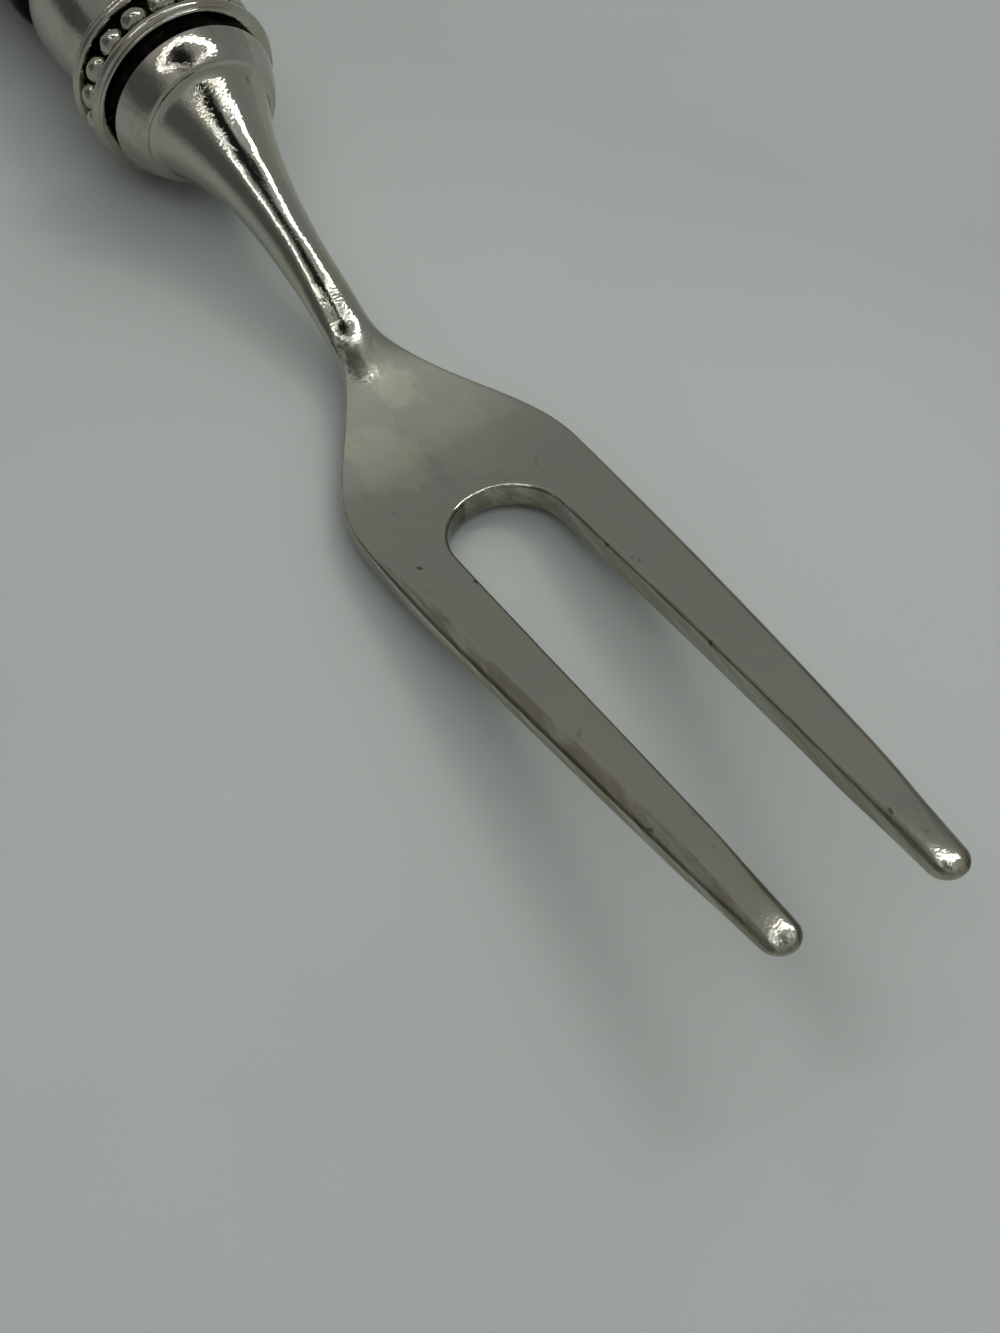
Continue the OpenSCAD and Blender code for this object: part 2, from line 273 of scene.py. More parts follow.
def inner_edge(x):
    """Place and drop of the rounded edge along the centre line and the gap."""
    rim = rim_at(x)
    edge = []
    for k in range(RIM_STEPS + 1):
        a = quarter(k, RIM_STEPS)
        d = rim * (1 - math.cos(a))
        drop = rim * (1 - math.sin(a))
        y = gap_at(x) + d
        if x < ROOT_X:
            reach = (GAP_R + d) ** 2 - (ROOT_X - x) ** 2
            y = math.sqrt(max(0.0, reach))
            if reach <= 0:
                back = rim - min(rim, NOTCH_X - x)
                drop = rim - math.sqrt(rim ** 2 - back ** 2)
        edge.append((y, drop))
    return edge


def plate_outline(x, start, share):
    """Plate from its flat top over a corner, a bevel on the tines, down the side to the flat below."""
    w, t, n = half_w(x), half_t(x), side_power(x)
    bevel = share * ease((x - BEVEL_X) / (BEVEL_END_X - BEVEL_X))
    out, down = mix(CORNER_R, BEVEL_W, bevel), mix(CORNER_R, BEVEL_H, bevel)
    flat = mix(1, BEVEL_FLAT, bevel)
    points = [(mix(start, w - out, k / FLAT_STEPS), t) for k in range(1, FLAT_STEPS)]
    for k in range(CORNER_STEPS + 1):
        a = quarter(k, CORNER_STEPS)
        y = w - out * (1 - math.sin(a) ** flat)
        points.append((y, t - down * (1 - unit(math.cos(a)) ** flat)))
    for k in range(1, SIDE_STEPS):
        a = quarter(k, SIDE_STEPS)
        y = math.cos(a) ** (2 / n)
        points.append((mix(start, w, y), t - down - (2 * t - down) * math.sin(a) ** (2 / n)))
    return points


def half_section(x, bevel):
    """Half section from the inner bottom edge over the outside to the inner top edge."""
    w, t, b = half_w(x), half_t(x), plate_at(x)
    edge = inner_edge(x)
    start = edge[-1][0]
    plate = plate_outline(x, start, bevel)
    outside = []
    for k, (y, z) in enumerate(plate):
        a = math.pi * (k + 1) / (len(plate) + 1)
        outside.append((mix(start + (w - start) * math.sin(a), y, b), mix(t * math.cos(a), z, b)))
    wide = (w - start) / (max(y for y, z in outside) - start)
    outside = [(start + (y - start) * wide, z) for y, z in outside]
    rim = [(y, t - drop) for y, drop in edge]
    return [(y, -z) for y, z in rim] + outside[::-1] + rim[::-1]


def worked(x):
    """Share of the hand-worked waviness: none on the tang, full along the neck, little further on."""
    return unit(x / WORK_X) * mix(1, YOKE_WORK, ease((x - NECK_LEN) / (PLATE_X - NECK_LEN)))


def blunted(x):
    """Share of the dents on the worn tips."""
    return ease((x - HEAD_LEN + TIP_SLOPE_LEN) / (TIP_SLOPE_LEN / 2))


# Meshes


def new_piece(name, bm, slot, nodes, sharp):
    """Links a mesh, shades it smooth up to an angle in degrees, attaches it to the root body, hides the nodes
    it stands for and gives it its slot's material.
    """
    bmesh.ops.remove_doubles(bm, verts=bm.verts, dist=MERGE_DIST)
    bmesh.ops.dissolve_degenerate(bm, edges=bm.edges, dist=MERGE_DIST)
    bmesh.ops.recalc_face_normals(bm, faces=bm.faces)
    for f in bm.faces:
        f.smooth = True
    for e in bm.edges:
        if len(e.link_faces) == 2:
            e.smooth = e.calc_face_angle() < math.radians(sharp)
    mesh = bpy.data.meshes.new(name)
    bm.to_mesh(mesh)
    bm.free()
    piece = bpy.data.objects.new(name, mesh)
    bpy.context.scene.collection.objects.link(piece)
    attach(piece, "root")
    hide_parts(*nodes)
    mesh.materials.append(MATERIALS[slot])


def skin(bm, rings, closed=False):
    """Faces between rows of points of equal length."""
    rows = [[bm.verts.new(p) for p in ring] for ring in rings]
    for a, b in zip(rows, rows[1:]):
        count = len(a) if closed else len(a) - 1
        for k in range(count):
            j = (k + 1) % len(a)
            bm.faces.new((a[k], a[j], b[j], b[k]))


def tine_points(x, size, side, extra, bow, bevel):
    """Section of one tine, moved by its own length and bow, and drawn in at its tip."""
    at = min(x, HEAD_LEN - TIP_LEN)
    m = (gap_at(at) + half_w(at)) / 2
    u = along(x)
    out = m + bow * 4 * u * (1 - u)
    down = math.sqrt(1 - max(0.0, (x - HEAD_LEN) / TIP_SLOPE_LEN + 1) ** 2)
    return [place(x + extra * u * u, side * (out + (y - m) * size), mid_z(x) + z * down)
            for y, z in half_section(at, bevel)]


def build_head():
    """Two halves, each skinned over its sections from the tang to the tip, with the wall of the gap."""
    bm = bmesh.new()
    neck = [NECK_LEN * (k / NECK_ROWS) ** NECK_CROWD for k in range(NECK_ROWS + 1)]
    yoke = [mix(NECK_LEN, NOTCH_X - RIM_R, k / YOKE_ROWS) for k in range(1, YOKE_ROWS + 1)]
    rim = [NOTCH_X - RIM_R * math.cos(quarter(k, RIM_STEPS)) for k in range(1, RIM_STEPS + 1)]
    root = [NOTCH_X + GAP_R * (1 - math.cos(quarter(k, ROOT_ROWS))) for k in range(1, ROOT_ROWS + 1)]
    tine = [mix(ROOT_X, HEAD_LEN - TIP_LEN, k / TINE_ROWS) for k in range(1, TINE_ROWS + 1)]
    tip = [quarter(k, TIP_ROWS) for k in range(1, TIP_ROWS + 1)]
    fork = [(x, 1.0) for x in [NOTCH_X] + root + tine]
    fork += [(HEAD_LEN - TIP_LEN * (1 - math.sin(a)), math.cos(a)) for a in tip]
    shrink = TANG_R / neck_r(0.0)
    for side, extra, bow, bevel in TINES:
        foot = half_section(0.0, bevel)
        rows = []
        for x, s in ((TANG_END, 0.0), (TANG_END, shrink), (0.0, shrink)):
            rows.append([place(x, side * y * s, z * s) for y, z in foot])
        for x in neck + yoke + rim:
            rows.append([place(x, side * y, mid_z(x) + z) for y, z in half_section(x, bevel)])
        walls = []
        for x, s in fork:
            points = tine_points(x, s, side, extra, bow, bevel)
            walls.append([points[-1].lerp(points[0], k / WALL_STEPS) for k in range(WALL_STEPS + 1)])
            if x > NOTCH_X:
                rows.append(points)
        skin(bm, rows)
        skin(bm, walls)
    bmesh.ops.remove_doubles(bm, verts=bm.verts, dist=MERGE_DIST)
    return bm


def roughen(bm, height, size, seed, share=None):
    """Pushes the surface in and out by a soft noise, as hand finishing leaves it."""
    bm.normal_update()
    shift = Vector((seed, 2 * seed, 3 * seed))
    moves = [v.normal * height * noise.noise(v.co / size + shift) for v in bm.verts]
    if share:
        moves = [m * share(v.co.x - SEAT_X) for v, m in zip(bm.verts, moves)]
    for v, m in zip(bm.verts, moves):
        v.co += m


def arc(x, r, radius, start, end, steps):
    """Points of a profile on an arc, with angles in degrees from the outward direction towards +X."""
    points = []
    for k in range(steps + 1):
        a = math.radians(mix(start, end, k / steps))
        points.append((x + radius * math.sin(a), r + radius * math.cos(a)))
    return points


def lathe(profile):
    """Closed profile of station and radius, turned about the handle axis."""
    bm = bmesh.new()
    rings = []
    for k in range(LATHE_STEPS + 1):
        a = 2 * math.pi * k / LATHE_STEPS
        rings.append([Vector((x, r * math.sin(a), AXIS_Z + r * math.cos(a))) for x, r in profile])
    skin(bm, rings, closed=True)
    bmesh.ops.remove_doubles(bm, verts=bm.verts, dist=MERGE_DIST)
    return bm


def outer_r(node):
    low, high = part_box(node)
    return (high.z - low.z) / 2


# Shader nodes: noise scales are in features per metre


def add(tree, kind, inputs=None, **props):
    """Adds a node, sets its properties, and links or sets its inputs."""
    n = tree.nodes.new(kind)
    for key, value in props.items():
        setattr(n, key, value)
    for key, value in (inputs or {}).items():
        if isinstance(value, bpy.types.NodeSocket):
            tree.links.new(value, n.inputs[key])
        else:
            n.inputs[key].default_value = value
    return n


def shader(name):
    """New material, its nodes, and the place on the piece."""
    material = bpy.data.materials.new(name)
    material.use_nodes = True
    tree = material.node_tree
    return material, tree, add(tree, "ShaderNodeTexCoord").outputs["Object"]


def dress(tree, colour, rough, others):
    """Links colour and roughness to the shader and sets its other inputs."""
    bsdf = tree.nodes["Principled BSDF"]
    tree.links.new(colour, bsdf.inputs["Base Color"])
    if rough:
        tree.links.new(rough, bsdf.inputs["Roughness"])
    for key, value in others.items():
        bsdf.inputs[key].default_value = value


def emboss(tree, height, strength, depth):
    """Links a bump of the surface to the shader."""
    bump = add(tree, "ShaderNodeBump", {"Height": height, "Strength": strength, "Distance": depth})
    tree.links.new(bump.outputs["Normal"], tree.nodes["Principled BSDF"].inputs["Normal"])


def ramp(tree, fac, stops):
    """Colour ramp from places and colours."""
    n = add(tree, "ShaderNodeValToRGB", {"Fac": fac})
    e = n.color_ramp.elements
    while len(e) < len(stops):
        e.new(0.5)
    for item, (at, colour) in zip(e, stops):
        item.position = at
        item.color = (*colour, 1)
    return n.outputs["Color"]


def grey(v):
    return (v, v, v)


def grey_ramp(tree, fac, *stops):
    """Grey that follows places and tones."""
    return ramp(tree, fac, [(at, grey(v)) for at, v in stops])


def noise_of(tree, where, scale, detail, rough=0.55, stretch=(1, 1, 1), distortion=0.0):
    m = add(tree, "ShaderNodeMapping", {"Vector": where, "Scale": stretch})
    n = add(tree, "ShaderNodeTexNoise", {"Vector": m.outputs["Vector"], "Scale": scale, "Detail": detail,
                                         "Roughness": rough, "Distortion": distortion})
    return n.outputs["Fac"]


def mixed(tree, fac, a, b, blend="MIX"):
    n = add(tree, "ShaderNodeMix", data_type="RGBA", blend_type=blend)
    for socket, value in ((n.inputs[0], fac), (n.inputs[6], a), (n.inputs[7], b)):
        if isinstance(value, bpy.types.NodeSocket):
            tree.links.new(value, socket)
        else:
            socket.default_value = value
    return n.outputs[2]


def tinted(tree, mask, base, tint):
    """Colour multiplied by a tint inside a mask."""
    return mixed(tree, mask, base, mixed(tree, 1.0, base, (*tint, 1), "MULTIPLY"))


def maths(tree, op, a, b=0.0):
    return add(tree, "ShaderNodeMath", {0: a, 1: b}, operation=op).outputs[0]


def times(tree, a, b):
    return maths(tree, "MULTIPLY", a, b)


def layered(tree, base, layer, weight):
    """Value with a weighted layer on top."""
    return maths(tree, "ADD", base, times(tree, layer, weight))


def ranged(tree, value, start, end, low=0.0, high=1.0):
    """Value carried from one range to another, and held at its ends."""
    n = add(tree, "ShaderNodeMapRange", {"Value": value, "From Min": start, "From Max": end,
                                         "To Min": low, "To Max": high})
    return n.outputs["Result"]


def axis_of(tree, vector, axis):
    return add(tree, "ShaderNodeSeparateXYZ", {0: vector}).outputs[axis]


def vector_value(tree, op, a, b=(0, 0, 0)):
    return add(tree, "ShaderNodeVectorMath", {0: a, 1: b}, operation=op).outputs["Value"]


def past(tree, where, start, length):
    """Mask that rises from 0 to 1 along a stretch."""
    return ranged(tree, axis_of(tree, where, "X"), start, start + length)


def spot(tree, where, centre, size, turn):
    """Mask of an oval patch with a ragged border: 1 inside and 0 outside."""
    m = add(tree, "ShaderNodeMapping", {"Vector": where, "Location": centre, "Rotation": (0, 0, turn),
                                        "Scale": size}, vector_type="TEXTURE")
    away = vector_value(tree, "LENGTH", m.outputs["Vector"])
    ragged = noise_of(tree, where, scale=1.1 / size[1], detail=6, rough=0.65)
    border = maths(tree, "DIVIDE", layered(tree, away, ragged, 2), 3)
    return grey_ramp(tree, border, (0.56, 1), (0.67, 0))


# Materials

MARK_DEPTH = 0.5 * MM
STREAK_X = SEAT_X + 23 * MM
SMOOTH_X = SEAT_X + 19 * MM
WORN_X = SEAT_X + HEAD_LEN - 5 * MM
BLEND_LEN = 2 * MM

# Weights of scratches and grain in the height and of wear in the roughness, the tint of the streaks on the
# sides, and the tint of the painted shade on the sides facing +Y
SCRATCHES = 0.25
GRAIN = 1.4
WORN_GRAIN = 2.5
WORN_DULL = 0.1
STREAK_DULL = 0.08
STREAK_TINT = (0.68, 0.65, 0.57)
RIGHT_SHADE_TINT = (0.5, 0.49, 0.46)

# Marks on the head, in mm and degrees: place from the collar's seat, half sizes, turn, tint and pitting. The
# first three are painted light; the rest are paler and darker patches.
MARKS_AND_PAINTED_LIGHT = [
    # Painted shade in the crease at the end of the neck, with pitting, and a softer band of painted shade
    # around it
    (21.5, -1.15, 3, 0.75, -10, (0.3, 0.3, 0.29), 0.08),
    (21, -0.5, 2.8, 1.3, -10, (0.68, 0.68, 0.67), 0.05),
    # Painted soft reflection on the top, beside the crease
    (24.1, 0.2, 3.6, 1.5, 10, (1.2, 1.2, 1.14), 0),
    (28.8, -3.3, 4.2, 2.7, 10, (1.17, 1.17, 1.11), 0),
    (30, -1.2, 4.2, 0.7, 4, (0.93, 0.93, 0.94), 0),
    (30.5, 2.2, 4.6, 2.6, -15, (1.07, 1.07, 1.06), 0),
]
# Nicks along the tines: place and turn, then the half length, half width and tint of all
NICKS = [
    (43.6, 4.05, 20),
    (54.3, 4.15, -25),
    (38.3, -6.3, 30),
    (63.3, -6.6, 10),
    (70, 4.4, -15),
    (41.5, -4.1, 40),
]
NICK_LEN = 0.3
NICK_W = 0.12
NICK_TINT = (0.35, 0.34, 0.32)
MARKS_AND_PAINTED_LIGHT += [(x, y, NICK_LEN, NICK_W, turn, NICK_TINT, 0) for x, y, turn in NICKS]


def silver(name, pale, warm, rough, patch_size, is_head=False):
    """Polished silver with warm tarnish, dirt, scratches and dents, and on the head marks, wear, painted
    shade and a painted reflection.
    """
    material, tree, where = shader(name)
    patches = noise_of(tree, where, scale=1 / patch_size, detail=6, rough=0.6, distortion=1.2)
    base = mixed(tree, grey_ramp(tree, patches, (0.46, 0), (0.56, 1)), (*pale, 1), (*warm, 1))
    specks = noise_of(tree, where, scale=900, detail=3, rough=0.6)
    base = mixed(tree, 1.0, base, grey_ramp(tree, specks, (0.2, 0.55), (0.34, 1)), "MULTIPLY")
    fine = noise_of(tree, where, scale=700, detail=5, rough=0.7, stretch=(0.12, 1, 1))
    dull = ranged(tree, fine, 0.3, 0.75, rough * 0.75, rough * 1.4)
    scratch = noise_of(tree, where, scale=2600, detail=3, rough=0.6, stretch=(0.08, 1, 1))
    grain = noise_of(tree, where, scale=5000, detail=2, rough=0.5)
    dents = noise_of(tree, where, scale=420, detail=3, rough=0.5)
    height = layered(tree, dents, scratch, SCRATCHES)
    if is_head:
        smooth = past(tree, where, SMOOTH_X, BLEND_LEN)
        worn = past(tree, where, WORN_X, BLEND_LEN)
        height = layered(tree, height, times(tree, grain, maths(tree, "SUBTRACT", 1.0, smooth)), GRAIN)
        height = layered(tree, height, times(tree, worn, grain), WORN_GRAIN)
        dull = layered(tree, dull, worn, WORN_DULL)
        base, dull, height = marked_and_painted(tree, where, base, dull, height)
        base, dull = streaked_and_shaded(tree, where, base, dull)
    else:
        height = layered(tree, height, grain, GRAIN)
    dress(tree, base, dull, {"Metallic": 1.0})
    emboss(tree, height, strength=0.25, depth=0.03 * MM)
    return material


def marked_and_painted(tree, where, base, dull, height):
    """Colour, roughness and height with the head's marks, its painted shade and its painted reflection, some
    of them pitted.
    """
    for x, y, length, width, turn, tint, pitted in MARKS_AND_PAINTED_LIGHT:
        centre = place(x * MM, y * MM, mid_z(x * MM) + half_t(x * MM))
        mask = spot(tree, where, centre, (length * MM, width * MM, MARK_DEPTH), math.radians(turn))
        if pitted:
            pits = noise_of(tree, where, scale=3800, detail=3, rough=0.6)
            dull = layered(tree, dull, mask, pitted)
            mask = times(tree, grey_ramp(tree, pits, (0.4, 0.8), (0.55, 1)), mask)
            height = layered(tree, height, mask, -2 * pitted)
        base = tinted(tree, mask, base, tint)
    return base, dull, height


def streaked_and_shaded(tree, where, base, dull):
    """Colour and roughness with worn streaks on the sides of the yoke and tines, and painted shade on the
    sides facing +Y.
    """
    normal = add(tree, "ShaderNodeNewGeometry").outputs["Normal"]
    upright = maths(tree, "ABSOLUTE", axis_of(tree, normal, "Z"))
    sides = times(tree, grey_ramp(tree, upright, (0.9, 1), (0.97, 0)), past(tree, where, STREAK_X, BLEND_LEN))
    line = noise_of(tree, where, scale=1200, detail=5, rough=0.65, stretch=(0.1, 1, 1), distortion=0.5)
    lines = times(tree, sides, grey_ramp(tree, line, (0.4, 0), (0.58, 1)))
    base = tinted(tree, lines, base, STREAK_TINT)
    # Painted shade: the sides that face +Y are darkened
    shaded_right = maths(tree, "GREATER_THAN", axis_of(tree, normal, "Y"), 0.25)
    base = tinted(tree, times(tree, sides, shaded_right), base, RIGHT_SHADE_TINT)
    return base, layered(tree, dull, sides, STREAK_DULL)


def blackened():
    """Silver blackened in the recesses, with brown wear where it has been rubbed."""
    material, tree, where = shader("oxidised_metal")
    wear = grey_ramp(tree, noise_of(tree, where, scale=600, detail=5, rough=0.65), (0.5, 0), (0.78, 1))
    base = mixed(tree, wear, (0.004, 0.0042, 0.0035, 1), (0.045, 0.036, 0.026, 1))
    rough = grey_ramp(tree, noise_of(tree, where, scale=1500, detail=3), (0.3, 0.42), (0.7, 0.7))
    dress(tree, base, rough, {"Metallic": 0.3, "Specular IOR Level": 0.25})
    emboss(tree, noise_of(tree, where, scale=2200, detail=4), strength=0.4, depth=0.04 * MM)
    return material


def blackwood():
    """Black turned wood: long dark pores, faint brown figure and a waxed sheen."""
    material, tree, where = shader("grip_wood")
    figure = noise_of(tree, where, scale=260, detail=5, rough=0.6, stretch=(0.07, 1, 1), distortion=0.6)
    base = ramp(tree, figure, [(0.3, (0.003, 0.0026, 0.0022)), (0.6, (0.007, 0.006, 0.005)),
                               (0.8, (0.022, 0.015, 0.01))])
    pores = noise_of(tree, where, scale=1500, detail=3, rough=0.6, stretch=(0.05, 1, 1))
    rough = grey_ramp(tree, pores, (0.35, 0.5), (0.6, 0.3))
    dress(tree, base, rough, {"Specular IOR Level": 0.2, "Coat Weight": 0.06, "Coat Roughness": 0.25})
    emboss(tree, pores, strength=0.35, depth=0.05 * MM)
    return material


def inner(name, dark, pale, metallic, rough, size):
    """Plain material of a hidden piece, with mottled colour and a grained surface."""
    material, tree, where = shader(name)
    mottle = noise_of(tree, where, scale=1 / size, detail=5, rough=0.6)
    base = ramp(tree, mottle, [(0.35, dark), (0.7, pale)])
    dull = grey_ramp(tree, mottle, (0.3, rough * 0.8), (0.7, rough * 1.2))
    dress(tree, base, dull, {"Metallic": metallic})
    emboss(tree, mottle, strength=0.3, depth=0.05 * MM)
    return material


def paper():
    """Plain pale floor that grows darker towards the far right, where the light falls off."""
    material, tree, where = shader("floor_paper")
    clouds = noise_of(tree, where, scale=25, detail=4, rough=0.5)
    tone = ramp(tree, clouds, [(0.3, (0.362, 0.39, 0.367)), (0.7, (0.382, 0.41, 0.387))])
    away = vector_value(tree, "DOT_PRODUCT", where, FADE_TO)
    fade = ranged(tree, away, FADE_NEAR, FADE_NEAR + FADE_LEN, 1.0, FADE_TONE)
    faded = add(tree, "ShaderNodeVectorMath", {0: tone, "Scale": fade}, operation="SCALE")
    dress(tree, faded.outputs["Vector"], None, {"Roughness": 0.85, "Specular IOR Level": 0.2})
    return material


MATERIALS = {
    "head_metal": silver("head_metal", pale=(0.452, 0.457, 0.39), warm=(0.47, 0.465, 0.378), rough=0.055,
                         patch_size=6 * MM, is_head=True),
    "trim_metal": silver("trim_metal", pale=(0.455, 0.45, 0.395), warm=(0.41, 0.395, 0.325), rough=0.065,
                         patch_size=2.5 * MM),
    "oxidised_metal": blackened(),
    "grip_wood": blackwood(),
    "bedding_resin": inner("bedding_resin", dark=(0.2, 0.11, 0.05), pale=(0.34, 0.21, 0.1), metallic=0.0,
                           rough=0.55, size=1.5 * MM),
    "washer_steel": inner("washer_steel", dark=(0.42, 0.42, 0.43), pale=(0.6, 0.6, 0.61), metallic=1.0,
                          rough=0.35, size=0.6 * MM),
    "nut_brass": inner("nut_brass", dark=(0.5, 0.35, 0.13), pale=(0.72, 0.54, 0.24), metallic=1.0,
                       rough=0.3, size=0.8 * MM),
}

# Head

head = build_head()
roughen(head, height=0.03 * MM, size=3.5 * MM, seed=1, share=worked)
roughen(head, height=0.009 * MM, size=1 * MM, seed=2, share=worked)
roughen(head, height=0.014 * MM, size=0.32 * MM, seed=3, share=blunted)
new_piece("silver_head", head, "head_metal", ["fork_head"], sharp=50)

# Ferrule, grip and butt: each turned from a profile that follows its node's box

BORE_R = 4.2 * MM
CHANNEL_R = 5.615 * MM
GROOVE_R = 5.1 * MM
LAND_DROP = 0.12 * MM
PEG_R = 1 * MM
BEADS = 18
BEAD_STRETCH = 0.17
BEAD_UNEVEN = 0.06
LUMPS_PER_R = 1.6
STOUT_SHARES = (0.76, 0.6)
BUMP_SIZE = 2 * MM


def collar_profile():
    """Cone with a slightly bowed flank and a rounded front edge."""
    low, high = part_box("collar")
    bow = 8.7 * MM
    edge = 0.35 * MM
    lean = 15
    bow_x = low.x - bow * math.sin(math.radians(lean))
    bow_r = outer_r("collar") - bow * math.cos(math.radians(lean))
    turn = math.degrees(math.asin((high.x - edge - bow_x) / (bow - edge)))
    edge_r = bow_r + (bow - edge) * math.cos(math.radians(turn))
    flank = arc(bow_x, bow_r, bow, lean, turn, steps=24)
    front = arc(high.x - edge, edge_r, edge, turn, 90, steps=10)
    return [(low.x, TANG_R)] + flank + front[1:] + [(high.x, TANG_R)]


def wire_profile(node, fine_side, share):
    """A stout strand and a fine one beside it, in the width of the ring."""
    low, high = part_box(node)
    x = (low.x + high.x) / 2
    wire_r = (high.x - low.x) / 2
    stout = share * wire_r
    fine = wire_r - stout
    fine_drop = 0.42 * wire_r
    stout_end = 78
    fine_start = -60
    seat = BAND_R - 2 * wire_r
    stout_x = x - fine_side * fine
    fine_x = x + fine_side * stout
    points = arc(stout_x, BAND_R - stout, stout, -90 * fine_side, stout_end * fine_side, steps=22)
    fine_r = BAND_R - fine_drop - fine
    points += arc(fine_x, fine_r, fine, fine_start * fine_side, 90 * fine_side, steps=12)
    return points + [(fine_x + fine_side * fine, seat), (stout_x - fine_side * stout, seat)]


def bead_mesh(node):
    """Row of granules, each a little uneven and longer along the row."""
    low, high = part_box(node)
    r = (high.x - low.x) / 2
    ring_r = BAND_R - r
    bm = bmesh.new()
    for k in range(BEADS):
        a = 2 * math.pi * k / BEADS
        centre = Vector(((low.x + high.x) / 2, -ring_r * math.sin(a), AXIS_Z + ring_r * math.cos(a)))
        run = Vector((0, -math.cos(a), -math.sin(a)))
        shift = Vector((7.1 * k, 3.3 * k, 1.7 * k))
        for v in bmesh.ops.create_icosphere(bm, subdivisions=4, radius=r)["verts"]:
            lump = noise.noise(v.co / r * LUMPS_PER_R + shift)
            wide = v.co + run * (BEAD_STRETCH * v.co.dot(run))
            v.co = centre + wide * (1 - BEAD_UNEVEN / 2 + BEAD_UNEVEN * lump)
    return bm


def sleeve_profile(node, wires, groove_r):
    """Blackened sleeve: lands under the wires, bead channel and, on the front one, the groove before it."""
    low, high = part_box(node)
    fore, aft = (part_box(w) for w in wires)
    land = outer_r(node) - LAND_DROP
    points = [(low.x, BORE_R), (low.x, land), (aft[1].x, land), (aft[1].x, CHANNEL_R)]
    points += [(fore[0].x, CHANNEL_R), (fore[0].x, land), (fore[1].x, land)]
    if groove_r:
        points += [(fore[1].x, groove_r), (high.x, groove_r)]
    return points + [(high.x, BORE_R)]


def bulb_profile():
    """A short arc rises from the grip to the peak, and a long arc falls to the band."""
    low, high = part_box("front_bulb")
    r = outer_r("front_bulb")
    drop = 0.75 * MM
    peak_share = 0.6
    aft_bow = 1.5
    peak = mix(high.x, low.x, peak_share)
    run = high.x - peak
    fore = (run * run + drop * drop) / (2 * drop)
    aft = aft_bow * (peak - low.x)
    turn_aft = -math.degrees(math.asin((peak - low.x) / aft))
    turn_fore = math.degrees(math.asin(run / fore))
    rise = arc(peak, r - aft, aft, turn_aft, 0, steps=24)
    fall = arc(peak, r - fore, fore, 0, turn_fore, steps=24)
    return [(low.x, BORE_R)] + rise + fall[1:] + [(high.x, BORE_R)]


def grip_profile():
    """Shallow barrel with eased edges, a bore for the bedded tang and a tenon for the bulb."""
    low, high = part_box("grip")
    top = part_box("front_bulb")[0].x
    end_r = 6.2 * MM
    edge = 0.5 * MM
    edge_turn = 20
    bedding_t = 0.6 * MM
    steps = 24
    belly = outer_r("grip") - end_r
    mid = (low.x + top) / 2
    half = (top - low.x) / 2 - edge
    bore = TANG_R + bedding_t
    shares = [k / steps for k in range(-steps, steps + 1)]
    barrel = [(mid + half * u, end_r + belly * (1 - u ** 2)) for u in shares]
    butt_edge = arc(low.x + edge, end_r - edge, edge, -90, -edge_turn, steps=6)
    bulb_edge = arc(top - edge, end_r - edge, edge, edge_turn, 90, steps=6)
    tenon = [(top, BORE_R), (high.x, BORE_R), (high.x, bore)]
    return [(low.x, bore)] + butt_edge + barrel + bulb_edge + tenon


def cap_profile():
    """Dome with a blind hole for the ball's peg, and a spigot inside the sleeve."""
    low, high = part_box("end_cap")
    r = outer_r("end_cap")
    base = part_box("rear_sleeve")[0].x
    length = 5 * MM
    hole = low.x + 2.1 * MM
    spigot_r = BORE_R - 0.05 * MM
    dome = (length * length + r * r) / (2 * length)
    centre = base - length + dome
    start = -math.degrees(math.asin((centre - low.x) / dome))
    end = -math.degrees(math.asin((centre - base) / dome))
    peg_hole = [(hole, 0), (hole, PEG_R), (low.x, PEG_R)]
    spigot = [(base, spigot_r), (high.x, spigot_r), (high.x, 0)]
    return peg_hole + arc(centre, 0, dome, start, end, steps=40) + spigot


def finial_profile():
    """Ball with a flat seat on the cap and a peg."""
    low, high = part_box("finial")
    r = outer_r("finial")
    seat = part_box("end_cap")[0].x
    centre = low.x + r
    end = math.degrees(math.asin(min(1.0, (seat - centre) / r)))
    return arc(centre, 0, r, -90, end, steps=40) + [(seat, PEG_R), (high.x, PEG_R), (high.x, 0)]


def turned(name, profile, slot, node, bumps=0.008 * MM, sharp=35):
    """Turned piece with faint unevenness, which the length of its name seeds."""
    bm = lathe(profile)
    roughen(bm, bumps, BUMP_SIZE, seed=len(name))
    new_piece(name, bm, slot, [node], sharp)


turned("silver_collar", collar_profile(), "trim_metal", "collar")
turned("silver_bulb", bulb_profile(), "trim_metal", "front_bulb")
turned("black_grip", grip_profile(), "grip_wood", "grip", bumps=0.004 * MM)
turned("silver_cap", cap_profile(), "trim_metal", "end_cap")
turned("silver_ball", finial_profile(), "trim_metal", "finial")
for band, groove_r in (("front", GROOVE_R), ("rear", None)):
    sleeve = f"{band}_sleeve"
    wires = [f"{band}_wire_fore", f"{band}_wire_aft"]
    turned(f"{band}_black_sleeve", sleeve_profile(sleeve, wires, groove_r), "oxidised_metal", sleeve)
    for node, fine_side, share in zip(wires, (1, -1), STOUT_SHARES):
        turned(f"{node}_strands", wire_profile(node, fine_side, share), "trim_metal", node, sharp=60)
    beads = f"{band}_beads"
    new_piece(f"{band}_granules", bead_mesh(beads), "trim_metal", [beads], sharp=60)
for node, slot in (("bedding", "bedding_resin"), ("washer", "washer_steel"), ("tang_nut", "nut_brass")):
    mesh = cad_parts[node].data
    mesh.materials.clear()
    mesh.materials.append(MATERIALS[slot])

# Camera of the photo: its place from the collar's seat, and its axes in the frame

EYE = (101.608 * MM, -40.367 * MM, 98.854 * MM)
RIGHT = Vector((0.53738, 0.84333, -0.00275))
DOWN = Vector((0.71327, -0.45624, -0.53207))
FORWARD = Vector((-0.44997, 0.28396, -0.8467))
SENSOR_W = 36
FOCAL_PX = 2000
PHOTO_H_PX = 1333
CLIP_START = 5 * MM

